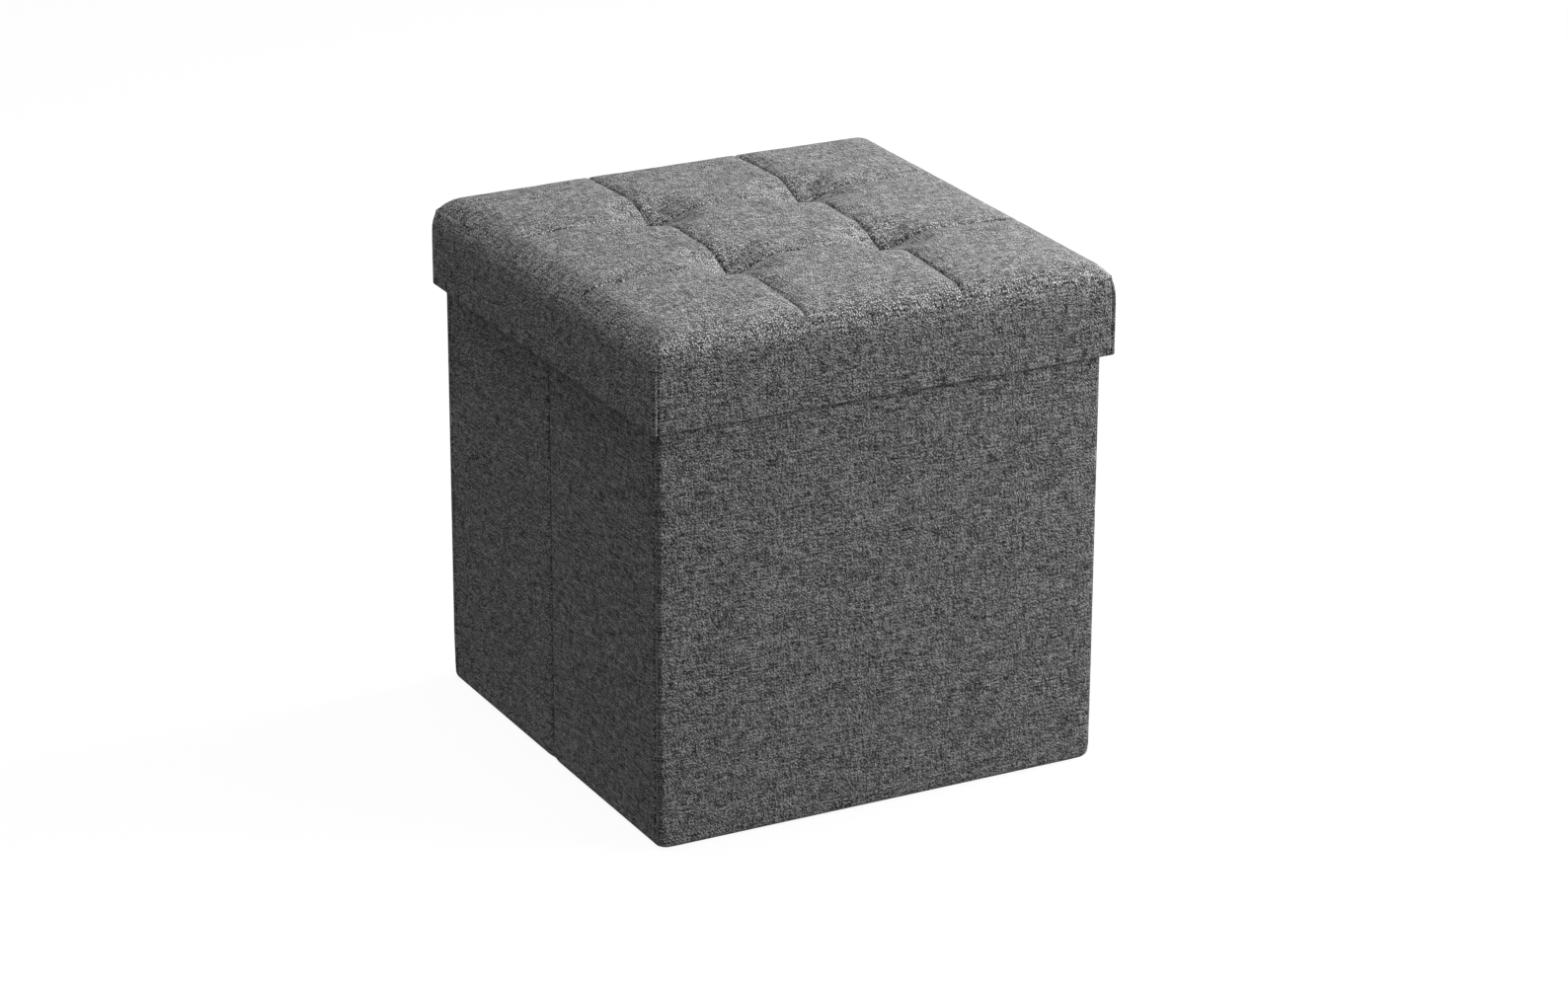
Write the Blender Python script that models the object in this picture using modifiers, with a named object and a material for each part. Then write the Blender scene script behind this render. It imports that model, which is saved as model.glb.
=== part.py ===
"""A folding storage ottoman: a square box of cloth-covered boards with a tufted lid that lifts off.

Metres, +Z up. The origin is on the floor, under the middle of the base. The plain front wall faces -Y.
Each side wall is two halves, creased down the middle. They fold inward, and the front wall comes back
to the rear wall. The walls stand on a loose base board, whose edge is hidden by a soft hem on each wall.

At rest a panel's own frame has X along the wall, Y out of the box and Z up, with Y = 0 on its outer face.
"""

import math

import bmesh
import bpy
from mathutils import Matrix, Vector

MM = 0.001

# The whole object
BODY = 364.5 * MM  # the walled box, outer width and depth
LID = 380.0 * MM  # the lid, outer width and depth
LID_LOW = 325.5 * MM  # lower edge of the lid's skirt
LID_SEAM = 385.5 * MM  # the seam round the top of the lid's sides
CROWN = 16.5 * MM  # how far the cushion's panels rise above that seam
CLEARANCE = 0.3 * MM  # between any two pieces that touch

# Cloth
CLOTH = 1.2 * MM  # outer cloth with its backing
LINING = 0.6 * MM  # non-woven lining
BASE_CLOTH = 0.8 * MM
TURN_IN = 18.0 * MM  # cloth folded over each board's edge on its hidden side
BASE_TURN_IN = 25.0 * MM

# Boards
WALL_BOARD = 5.0 * MM
BASE_BOARD = 4.5 * MM
LID_BOARD = 5.0 * MM
RIM = 4.0 * MM
WALL = CLOTH + WALL_BOARD + LINING + 2 * CLEARANCE

# The base, and the hems that hang round it
BASE_HEIGHT = 2 * BASE_CLOTH + BASE_BOARD + 2 * CLEARANCE
BASE = BODY - 2 * (CLOTH + 1.75 * MM)
WALL_LOW = BASE_HEIGHT + CLEARANCE
HEM_LOW = CLEARANCE

# Inside the lid, from the cushion's underside down
LID_RECESS = 30.0 * MM  # depth of the lid's hollow, from the skirt's lower edge to the board's underside
LID_BOARD_LOW = LID_LOW + LID_RECESS + CLEARANCE
LID_LINING_LOW = LID_BOARD_LOW - CLEARANCE - LINING
WALL_TOP = LID_LINING_LOW - 0.4 * MM
FOAM_LOW = LID_BOARD_LOW + LID_BOARD + CLEARANCE
RIM_OUTER = LID / 2 - CLOTH - CLEARANCE
RIM_INNER = RIM_OUTER - RIM
LID_MOUTH = RIM_INNER - CLEARANCE - LINING

# The fold. A corner's axis stands a little inside the corner, a crease's a little outside the wall.
END_GAP = 0.5 * MM  # from a side half's end to the front or rear wall
CREASE_GAP = 1.0 * MM
CORNER_OFFSET = 0.6 * MM
CREASE_OFFSET = 0.5 * MM
CORNER_AXIS = BODY / 2 - WALL - CORNER_OFFSET
CREASE_AXIS = BODY / 2 + CREASE_OFFSET

# The tufts
PANELS = 3  # sewn panels along each side of the cushion
PANEL = LID / PANELS
CELLS = 6  # mesh cells along a panel
SEAM_DIP = 6.0 * MM
SEAM_WIDTH = 9.0 * MM
TUFT_DIP = 9.0 * MM
TUFT_WIDTH = 15.0 * MM
FLATNESS = 6  # exponent of the crown's fall towards the edge

# Ties, from the board's underside to the bottom of each tuft
CORD = 0.9 * MM
CORD_HOLE = 1.5 * MM
BUTTON = 3.5 * MM
BUTTON_HEIGHT = 1.2 * MM
WASHER = 6.0 * MM
WASHER_HEIGHT = 1.4 * MM
RECESS_DEPTH = 2.0 * MM
TIE_SIDES = 16

EDGE_RADIUS = 3.0 * MM
EDGE_SEGMENTS = 3
SPARE = 10.0 * MM  # how far a cutter reaches past what it cuts
MERGE = 0.00001


# Scene and materials


def clear_scene():
    for old in list(bpy.data.objects):
        bpy.data.objects.remove(old, do_unlink=True)
    for old in list(bpy.data.collections):
        bpy.data.collections.remove(old)


def collection(name):
    made = bpy.data.collections.new(name)
    bpy.context.scene.collection.children.link(made)
    return made


def material(name, colour, roughness):
    made = bpy.data.materials.new(name)
    made.use_nodes = True
    shader = made.node_tree.nodes["Principled BSDF"]
    shader.inputs["Base Color"].default_value = (*colour, 1.0)
    shader.inputs["Roughness"].default_value = roughness
    shader.inputs["Metallic"].default_value = 0.0
    made.diffuse_color = (*colour, 1.0)
    return made


clear_scene()
PARTS = collection("storage_ottoman")
CUTTERS = collection("cutters")
OUTER_CLOTH = material("charcoal_linen", (0.115, 0.115, 0.118), 0.95)
HEM_CLOTH = material("charcoal_hem", (0.105, 0.105, 0.108), 0.95)
INNER_CLOTH = material("black_non_woven", (0.030, 0.030, 0.032), 0.9)
BASE_WRAP = material("base_non_woven", (0.035, 0.035, 0.037), 0.9)
PANEL_BOARD = material("panel_board", (0.42, 0.30, 0.18), 0.8)
RIM_BOARD = material("rim_board", (0.50, 0.37, 0.23), 0.8)
FOAM = material("foam", (0.80, 0.76, 0.62), 0.95)
THREAD = material("tuft_thread", (0.08, 0.08, 0.085), 0.7)

# Each moving body hangs on an empty that stands on its joint's axis.
JOINT_POINTS = {
    "base": Vector((0, 0, 0)),
    "rear_wall": Vector((0, BODY / 2, WALL_LOW)),
    "left_rear": Vector((-CORNER_AXIS, CORNER_AXIS, WALL_LOW)),
    "left_front": Vector((-CREASE_AXIS, 0, WALL_LOW)),
    "front_wall": Vector((-CORNER_AXIS, -CORNER_AXIS, WALL_LOW)),
    "right_rear": Vector((CORNER_AXIS, CORNER_AXIS, WALL_LOW)),
    "right_front": Vector((CREASE_AXIS, 0, WALL_LOW)),
    "lid": Vector((0, 0, LID_LOW)),
}
JOINT_PARENTS = {
    "rear_wall": "base",
    "left_rear": "rear_wall",
    "left_front": "left_rear",
    "front_wall": "left_front",
    "right_rear": "rear_wall",
    "right_front": "right_rear",
    "lid": "rear_wall",
}


def joint_empties():
    made = {}
    for name, point in JOINT_POINTS.items():
        empty = bpy.data.objects.new(f"{name}_axis", None)
        empty.empty_display_size = 0.02
        PARTS.objects.link(empty)
        made[name] = empty
        parent = JOINT_PARENTS.get(name)
        if parent:
            empty.parent = made[parent]
            empty.location = point - JOINT_POINTS[parent]
        else:
            empty.location = point
    return made


AXES = joint_empties()


# Shapes


def mesh_object(name, shape, group=PARTS):
    mesh = bpy.data.meshes.new(name)
    shape.to_mesh(mesh)
    shape.free()
    made = bpy.data.objects.new(name, mesh)
    group.objects.link(made)
    return made


def box(name, low, high, group=PARTS):
    """A box between two corners of its own frame."""
    low, high = Vector(low), Vector(high)
    size = high - low
    to_place = Matrix.Translation((low + high) / 2) @ Matrix.Diagonal((*size, 1.0))
    shape = bmesh.new()
    bmesh.ops.create_cube(shape, size=1.0, matrix=to_place)
    return mesh_object(name, shape, group)


def square(name, half, low, high, group=PARTS):
    """A flat square block, centred on the object's Z axis."""
    return box(name, (-half, -half, low), (half, half, high), group)


def cylinder(name, radius, low, high, at, group=CUTTERS):
    shape = bmesh.new()
    middle = Vector((at[0], at[1], (low + high) / 2))
    bmesh.ops.create_cone(
        shape,
        cap_ends=True,
        segments=TIE_SIDES,
        radius1=radius,
        radius2=radius,
        depth=high - low,
        matrix=Matrix.Translation(middle),
    )
    return mesh_object(name, shape, group)


def place(made, body, paint, at=(0, 0, 0), turn=0.0):
    """Hang a piece on its body's axis, at a point of the room, turned about Z."""
    made.parent = AXES[body]
    made.location = Vector(at) - JOINT_POINTS[body]
    made.rotation_euler.z = turn
    made.data.materials.append(paint)
    return made


def cut(piece, cutter):
    """Take the cutter away from the piece. The cutter moves with the piece."""
    cutter.parent = piece
    cutter.hide_render = True
    cutter.display_type = "WIRE"
    modifier = piece.modifiers.new("cut", "BOOLEAN")
    modifier.operation = "DIFFERENCE"
    modifier.solver = "EXACT"
    modifier.object = cutter


def round_outer_ends(piece):
    """Round the two upright edges of a full-width wall that stand at the box's corners."""
    weights = piece.data.attributes.new("bevel_weight_edge", "FLOAT", "EDGE")
    for edge in piece.data.edges:
        start, end = (piece.data.vertices[v].co for v in edge.vertices)
        upright = abs(start.z - end.z) > CLOTH
        outer = max(start.y, end.y) > -CLEARANCE
        weights.data[edge.index].value = 1.0 if upright and outer else 0.0
    bevel = piece.modifiers.new("round", "BEVEL")
    bevel.limit_method = "WEIGHT"
    bevel.width = EDGE_RADIUS
    bevel.segments = EDGE_SEGMENTS


# The walls


def wall_cover(name, length, rounded):
    """The outer cloth of a panel: a thin case round the board, with a window on its inner face."""
    half = length / 2
    cover = box(name, (-half, -WALL, WALL_LOW), (half, 0, WALL_TOP))
    if rounded:
        round_outer_ends(cover)
    inner = half - CLOTH
    pocket = box(
        f"{name}_pocket",
        (-inner, -WALL + LINING, WALL_LOW + CLOTH),
        (inner, -CLOTH, WALL_TOP - CLOTH),
        CUTTERS,
    )
    edge = half - TURN_IN
    window = box(
        f"{name}_window",
        (-edge, -WALL - SPARE, WALL_LOW + TURN_IN),
        (edge, -WALL / 2, WALL_TOP - TURN_IN),
        CUTTERS,
    )
    cut(cover, pocket)
    cut(cover, window)
    return cover


def wall_board(name, length):
    half = length / 2 - CLOTH - CLEARANCE
    back = -CLOTH - CLEARANCE - WALL_BOARD
    low = WALL_LOW + CLOTH + CLEARANCE
    high = WALL_TOP - CLOTH - CLEARANCE
    return box(name, (-half, back, low), (half, -CLOTH - CLEARANCE, high))


def wall_lining(name, length):
    half = length / 2 - TURN_IN - CLEARANCE
    low = WALL_LOW + TURN_IN + CLEARANCE
    high = WALL_TOP - TURN_IN - CLEARANCE
    return box(name, (-half, -WALL, low), (half, -WALL + LINING, high))


def wall_hem(name, length, rounded):
    """The soft hem under a panel. On a full-width wall it also turns round both corners."""
    half = length / 2
    high = WALL_LOW - CLEARANCE
    if not rounded:
        return box(name, (-half, -CLOTH, HEM_LOW), (half, 0, high))
    hem = box(name, (-half, -WALL, HEM_LOW), (half, 0, high))
    round_outer_ends(hem)
    inside = box(
        f"{name}_inside",
        (-half + CLOTH, -WALL - SPARE, HEM_LOW - SPARE),
        (half - CLOTH, -CLOTH, high + SPARE),
        CUTTERS,
    )
    cut(hem, inside)
    return hem


def wall_panel(name, body, length, at, turn, rounded):
    lift = {"at": (at[0], at[1], 0), "turn": turn}
    place(wall_cover(f"{name}_cover", length, rounded), body, OUTER_CLOTH, **lift)
    place(wall_board(f"{name}_board", length), body, PANEL_BOARD, **lift)
    place(wall_lining(f"{name}_lining", length), body, INNER_CLOTH, **lift)
    place(wall_hem(f"{name}_hem", length, rounded), body, HEM_CLOTH, **lift)


def walls():
    outer = BODY / 2
    wall_panel("rear", "rear_wall", BODY, (0, outer), 0.0, True)
    wall_panel("front", "front_wall", BODY, (0, -outer), math.pi, True)
    length = outer - WALL - END_GAP - CREASE_GAP / 2
    middle = (CREASE_GAP + length) / 2
    for side, sign in (("left", -1), ("right", 1)):
        turn = -sign * math.pi / 2
        for end, way in (("rear", 1), ("front", -1)):
            at = (sign * outer, way * middle)
            wall_panel(f"{side}_{end}", f"{side}_{end}", length, at, turn, False)


# The base


def base():
    half = BASE / 2
    cover = square("base_cover", half, 0, BASE_HEIGHT)
    inner = half - BASE_CLOTH
    cut(cover, square("base_pocket", inner, BASE_CLOTH, BASE_HEIGHT - BASE_CLOTH, CUTTERS))
    window = half - BASE_TURN_IN
    cut(cover, square("base_window", window, BASE_HEIGHT / 2, BASE_HEIGHT + SPARE, CUTTERS))
    place(cover, "base", BASE_WRAP)
    low = BASE_CLOTH + CLEARANCE
    board = square("base_board", inner - CLEARANCE, low, low + BASE_BOARD)
    place(board, "base", PANEL_BOARD)
    lining = square("base_lining", window - CLEARANCE, BASE_HEIGHT - BASE_CLOTH, BASE_HEIGHT)
    place(lining, "base", INNER_CLOTH)


# The lid


def bump(distance, width):
    """1 at a seam or a tuft, falling smoothly to nothing a few widths away."""
    return math.exp(-((distance / width) ** 2))


def cushion_rise(x, y):
    """How far the cushion's top stands above the seam round its edge."""
    half = LID / 2
    across = 1 - min(1.0, abs(x) / half) ** FLATNESS
    along = 1 - min(1.0, abs(y) / half) ** FLATNESS
    to_seam_x = abs(abs(x) - PANEL / 2)
    to_seam_y = abs(abs(y) - PANEL / 2)
    seam = max(bump(to_seam_x, SEAM_WIDTH), bump(to_seam_y, SEAM_WIDTH))
    tuft = bump(math.hypot(to_seam_x, to_seam_y), TUFT_WIDTH)
    fall = min(across, along)
    return CROWN * across * along - fall * (SEAM_DIP * seam + TUFT_DIP * tuft)


def cushion(name, half, low, drop, group=PARTS):
    """A square block whose tufted top lies a set distance under the cloth's outer surface."""
    count = PANELS * CELLS
    shape = bmesh.new()
    bmesh.ops.create_grid(shape, x_segments=count, y_segments=count, size=LID / 2)
    bmesh.ops.triangulate(shape, faces=shape.faces, quad_method="FIXED")
    for point in shape.verts:
        rise = cushion_rise(point.co.x, point.co.y)
        point.co.z = LID_SEAM + rise - drop
        point.co.x = max(-half, min(half, point.co.x))
        point.co.y = max(-half, min(half, point.co.y))
    border = [edge for edge in shape.edges if edge.is_boundary]
    walls_made = bmesh.ops.extrude_edge_only(shape, edges=border)["geom"]
    foot = [part for part in walls_made if isinstance(part, bmesh.types.BMEdge)]
    for point in {vert for edge in foot for vert in edge.verts}:
        point.co.z = low
    bmesh.ops.contextual_create(shape, geom=[edge for edge in foot if edge.is_boundary])
    bmesh.ops.recalc_face_normals(shape, faces=shape.faces)
    return mesh_object(name, shape, group)


def tuft_points():
    middle = PANEL / 2
    return [(x, y) for y in (-middle, middle) for x in (-middle, middle)]


def lid_cover():
    cover = cushion("lid_cover", LID / 2, LID_LOW, 0.0)
    cut(cover, cushion("lid_pocket", LID / 2 - CLOTH, LID_LOW + CLOTH, CLOTH, CUTTERS))
    mouth = square("lid_mouth", LID_MOUTH, LID_LOW - SPARE, LID_LOW + SPARE, CUTTERS)
    cut(cover, mouth)
    place(cover, "lid", OUTER_CLOTH)


def lid_foam(tuft_floor):
    foam = cushion("lid_foam", RIM_OUTER, FOAM_LOW, CLOTH + CLEARANCE)
    for number, at in enumerate(tuft_points(), 1):
        hole = cylinder(f"foam_hole_{number}", CORD_HOLE, FOAM_LOW - SPARE, LID_SEAM, at)
        cut(foam, hole)
        dent = cylinder(
            f"foam_dent_{number}",
            BUTTON + CLEARANCE,
            tuft_floor - BUTTON_HEIGHT - 2 * CLEARANCE,
            LID_SEAM + CROWN,
            at,
        )
        cut(foam, dent)
    place(foam, "lid", FOAM)


def lid_board():
    board = square("lid_board", RIM_OUTER, LID_BOARD_LOW, LID_BOARD_LOW + LID_BOARD)
    for number, at in enumerate(tuft_points(), 1):
        low, high = LID_BOARD_LOW - SPARE, FOAM_LOW + SPARE
        cut(board, cylinder(f"board_hole_{number}", CORD_HOLE, low, high, at))
        recess = LID_BOARD_LOW + RECESS_DEPTH
        radius = WASHER + 2 * CLEARANCE
        cut(board, cylinder(f"board_recess_{number}", radius, low, recess, at))
    place(board, "lid", PANEL_BOARD)


def lid_rims():
    low = LID_LOW + CLOTH + CLEARANCE
    high = LID_BOARD_LOW - CLEARANCE
    middle = (RIM_OUTER + RIM_INNER) / 2
    long_half = RIM_OUTER
    short_half = RIM_INNER - CLEARANCE
    for name, half, at, turn in (
        ("front", long_half, (0, -middle, 0), 0.0),
        ("rear", long_half, (0, middle, 0), 0.0),
        ("left", short_half, (-middle, 0, 0), math.pi / 2),
        ("right", short_half, (middle, 0, 0), math.pi / 2),
    ):
        strip = box(f"lid_rim_{name}", (-half, -RIM / 2, low), (half, RIM / 2, high))
        place(strip, "lid", RIM_BOARD, at, turn)


def lid_lining():
    """A shallow tray of lining under the board and down the inside of the rim."""
    low = LID_LOW + CLOTH + CLEARANCE
    high = LID_BOARD_LOW - CLEARANCE
    lining = square("lid_lining", RIM_INNER - CLEARANCE, low, high)
    cut(lining, square("lining_inside", LID_MOUTH, low - SPARE, LID_LINING_LOW, CUTTERS))
    place(lining, "lid", INNER_CLOTH)


def tuft_ties(tuft_floor):
    """Cords with a small button under the cloth and a washer in the board, turned about their own axis."""
    top = tuft_floor
    neck = top - BUTTON_HEIGHT
    bottom = LID_BOARD_LOW + CLEARANCE
    shoulder = bottom + WASHER_HEIGHT
    outline = (
        (0, top),
        (BUTTON, top),
        (BUTTON, neck),
        (CORD, neck),
        (CORD, shoulder),
        (WASHER, shoulder),
        (WASHER, bottom),
        (0, bottom),
    )
    for number, at in enumerate(tuft_points(), 1):
        shape = bmesh.new()
        points = [shape.verts.new((radius, 0, height)) for radius, height in outline]
        for start, end in zip(points, points[1:]):
            shape.edges.new((start, end))
        tie = mesh_object(f"tuft_tie_{number}", shape)
        turned = tie.modifiers.new("turn", "SCREW")
        turned.steps = TIE_SIDES
        turned.render_steps = TIE_SIDES
        turned.use_merge_vertices = True
        turned.merge_threshold = MERGE
        place(tie, "lid", THREAD, (at[0], at[1], 0))


def lid():
    tuft = cushion_rise(PANEL / 2, PANEL / 2)
    tuft_floor = LID_SEAM + tuft - CLOTH - 3 * CLEARANCE
    lid_cover()
    lid_foam(tuft_floor)
    lid_board()
    lid_rims()
    lid_lining()
    tuft_ties(tuft_floor)


base()
walls()
lid()
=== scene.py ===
"""The folding storage ottoman as it looks: charcoal mottled linen over boards and foam, with a tufted lid.

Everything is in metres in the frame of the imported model. Pieces are first laid out as the grid of a plain
box or strip, with each cell's place on the flat cloth as its UV, and then bent into shape.
"""

import math

import bmesh
import bpy
import numpy as np
from mathutils import Matrix, Vector

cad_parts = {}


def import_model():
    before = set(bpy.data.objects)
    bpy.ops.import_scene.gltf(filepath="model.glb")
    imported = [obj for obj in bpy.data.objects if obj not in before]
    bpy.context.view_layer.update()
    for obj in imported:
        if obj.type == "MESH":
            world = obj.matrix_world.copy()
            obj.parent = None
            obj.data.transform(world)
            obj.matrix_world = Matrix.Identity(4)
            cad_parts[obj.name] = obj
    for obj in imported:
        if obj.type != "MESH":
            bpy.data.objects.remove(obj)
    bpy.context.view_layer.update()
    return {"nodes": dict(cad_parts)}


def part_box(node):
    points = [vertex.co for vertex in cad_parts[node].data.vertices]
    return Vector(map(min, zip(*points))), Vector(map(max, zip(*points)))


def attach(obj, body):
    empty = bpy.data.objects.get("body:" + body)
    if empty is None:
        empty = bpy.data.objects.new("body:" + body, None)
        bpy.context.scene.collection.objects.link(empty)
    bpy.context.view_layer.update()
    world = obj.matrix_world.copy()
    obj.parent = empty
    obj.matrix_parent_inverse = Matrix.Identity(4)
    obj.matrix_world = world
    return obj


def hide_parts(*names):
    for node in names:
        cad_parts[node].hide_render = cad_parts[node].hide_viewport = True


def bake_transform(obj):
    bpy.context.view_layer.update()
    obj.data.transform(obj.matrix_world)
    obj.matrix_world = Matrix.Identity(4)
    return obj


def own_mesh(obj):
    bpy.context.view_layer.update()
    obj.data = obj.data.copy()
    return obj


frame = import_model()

MM = 0.001

# Sizes that the frame gives
FRONT_LOW, FRONT_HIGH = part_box("front_cover")
HALF = -FRONT_LOW.y  # from the middle of the box to its outer faces
WALL = FRONT_HIGH.y - FRONT_LOW.y
WALL_LOW, WALL_TOP = FRONT_LOW.z, FRONT_HIGH.z
CREASE_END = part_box("left_rear_cover")[0].y  # where a side half ends at the crease
SIDE_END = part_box("left_rear_cover")[1].y  # and at the corner
TURN_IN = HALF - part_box("front_lining")[1].x  # cloth folded over each board's edge
LID_LOW_CORNER, LID_HIGH_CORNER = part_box("lid_cover")
LID_HALF, LID_LOW, LID_TOP = LID_HIGH_CORNER.x, LID_LOW_CORNER.z, LID_HIGH_CORNER.z
FOAM_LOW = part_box("lid_foam")[0].z
LID_LINING_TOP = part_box("lid_lining")[1].z
BASE_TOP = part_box("base_cover")[1].z
BASE_LINING_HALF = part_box("base_lining")[1].x
TIE_LOW, TIE_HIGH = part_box("tuft_tie_4")
TUFT = (TIE_LOW.x + TIE_HIGH.x) / 2  # tufts, and the seams through them, lie this far from the middle

# Cloth
CLOTH = 1.2 * MM
THIN = 0.6 * MM  # the lining
UPRIGHT_RADIUS = 3.2 * MM  # of the box's upright corners
FOOT_RADIUS = 5.5 * MM  # of the same corners near the floor
SOFT_FROM, SOFT_TO = 40 * MM, 8 * MM  # they soften between these heights
FOOT_EXTRA = 6 * MM  # and have this much more radius at the very floor
SPLIT = 10 * MM  # the walls' cloth ends here, and the hem hangs from here

# The lid
LID_CORNER = 3.4 * MM  # its upright corners' radius
LID_TOP_CORNER = 8.0 * MM  # the same at the top of its skirt
SEAM_RISE = 16.5 * MM  # from the seam round the lid up to its highest point
LID_SEAM = LID_TOP - SEAM_RISE
MOUTH = 183.6 * MM  # half the width of the lid's hollow
LID_TURN_IN = 17 * MM


# Mesh building


def graded(low, high, step, dense=(), near=()):
    """Grid lines about a step apart, and more of them at the near distances from each dense place."""
    extra = {low, high}
    for place in dense:
        for offset in near:
            extra |= {place - offset, place + offset}
    fixed = sorted(x for x in extra if low - 1e-9 <= x <= high + 1e-9)
    lines = [fixed[0]]
    for value in fixed[1:]:
        gap = value - lines[-1]
        if gap < 1e-7:
            continue
        parts = max(1, round(gap / step))
        lines += [lines[-1] + gap * (k + 1) / parts for k in range(parts)]
    return np.array(lines)


class Grid:
    """Points, four-cornered cells, and each cell corner's place on the flat cloth."""

    def __init__(self, points, cells, flat):
        self.points = np.array(points, float)
        self.cells = cells
        self.flat = flat


SIDES = (("left", 0, 0), ("right", 0, 1), ("front", 1, 0), ("rear", 1, 1), ("bottom", 2, 0), ("top", 2, 1))


def box_grid(xs, ys, zs, keep=None):
    """The six faces of a box, with grid lines at those places."""
    lines = (xs, ys, zs)
    numbers, points, cells, flat = {}, [], [], []

    def number(key):
        if key not in numbers:
            numbers[key] = len(points)
            points.append([lines[k][key[k]] for k in range(3)])
        return numbers[key]

    for side, axis, end in SIDES:
        first, second = (k for k in range(3) if k != axis)
        fixed = len(lines[axis]) - 1 if end else 0
        for a in range(len(lines[first]) - 1):
            for b in range(len(lines[second]) - 1):
                corners = []
                for at, up in ((a, b), (a + 1, b), (a + 1, b + 1), (a, b + 1)):
                    key = [0, 0, 0]
                    key[axis], key[first], key[second] = fixed, at, up
                    corners.append(tuple(key))
                middle_a = (lines[first][a] + lines[first][a + 1]) / 2
                middle_b = (lines[second][b] + lines[second][b + 1]) / 2
                if keep and not keep(side, middle_a, middle_b):
                    continue
                cell = [number(c) for c in corners]
                shift = lines[axis][fixed]
                places = [(lines[first][c[first]] + shift, lines[second][c[second]]) for c in corners]
                if (axis == 1) == bool(end):
                    cell, places = cell[::-1], places[::-1]
                cells.append(cell)
                flat.append(places)
    return Grid(points, cells, flat)


def strip_grid(us, vs):
    """A flat strip, with U along X and V along Z."""
    points = [(u, 0.0, v) for u in us for v in vs]
    count = len(vs)
    cells, flat = [], []
    for a in range(len(us) - 1):
        for b in range(count - 1):
            corners = ((a, b), (a + 1, b), (a + 1, b + 1), (a, b + 1))
            cells.append([i * count + j for i, j in corners])
            flat.append([(us[i], vs[j]) for i, j in corners])
    return Grid(points, cells, flat)


def piece(name, points, cells, flat, paint):
    """A mesh object with the cloth's UV, merged where points meet, with its faces pointing out."""
    mesh = bpy.data.meshes.new(name)
    mesh.from_pydata([tuple(p) for p in points], [], cells)
    layer = mesh.uv_layers.new(name="cloth")
    layer.data.foreach_set("uv", np.array([c for f in flat for c in f], np.float32).ravel())
    shape = bmesh.new()
    shape.from_mesh(mesh)
    bmesh.ops.remove_doubles(shape, verts=shape.verts, dist=0.005 * MM)
    bmesh.ops.dissolve_degenerate(shape, edges=shape.edges, dist=0.004 * MM)
    bmesh.ops.recalc_face_normals(shape, faces=shape.faces)
    shape.to_mesh(mesh)
    shape.free()
    mesh.shade_smooth()
    mesh.set_sharp_from_angle(angle=math.radians(50))
    made = bpy.data.objects.new(name, mesh)
    bpy.context.scene.collection.objects.link(made)
    mesh.materials.append(paint)
    return made


def solid(name, grid, points, paint):
    return piece(name, points, grid.cells, grid.flat, paint)


def shell(name, grid, outer, inner, paint):
    """Cloth with thickness: an outer and an inner form of the same grid, joined round its openings."""
    count = len(outer)
    cells = list(grid.cells) + [[i + count for i in cell[::-1]] for cell in grid.cells]
    flat = list(grid.flat) + [places[::-1] for places in grid.flat]
    seen = {}
    for cell, places in zip(grid.cells, grid.flat):
        for k in range(4):
            ends = (cell[k], cell[(k + 1) % 4])
            key = frozenset(ends)
            seen[key] = None if key in seen else (ends, places[k], places[(k + 1) % 4])
    for edge in seen.values():
        if edge:
            (a, b), start, end = edge
            cells.append([b, a, a + count, b + count])
            flat.append([end, start, start, end])
    return piece(name, np.vstack([outer, inner]), cells, flat, paint)


def smooth(t):
    t = np.clip(t, 0.0, 1.0)
    return t * t * (3 - 2 * t)


def round_edge(points, first, first_at, first_way, second, second_at, second_way, radius):
    """Round the edge where a form ends along two axes. A way is +1 or -1, the side that the edge is on."""
    a = first_way * (points[:, first] - first_at) + radius
    b = second_way * (points[:, second] - second_at) + radius
    inside = (a > 0) & (b > 0)
    length = np.where(inside, np.hypot(a, b), 1.0)
    scale = np.where(inside, np.maximum(a, b) / np.maximum(length, 1e-12), 1.0)
    points[:, first] += np.where(inside, first_way * a * (scale - 1), 0.0)
    points[:, second] += np.where(inside, second_way * b * (scale - 1), 0.0)


def corner_radius(z):
    """The box's upright corners are crisp, and softer near the floor."""
    share = smooth((SOFT_FROM - z) / (SOFT_FROM - SOFT_TO))
    low = np.clip(1 - z / SOFT_TO, 0, 1) ** 2
    return UPRIGHT_RADIUS + (FOOT_RADIUS - UPRIGHT_RADIUS) * share + FOOT_EXTRA * low


# Materials


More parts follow.
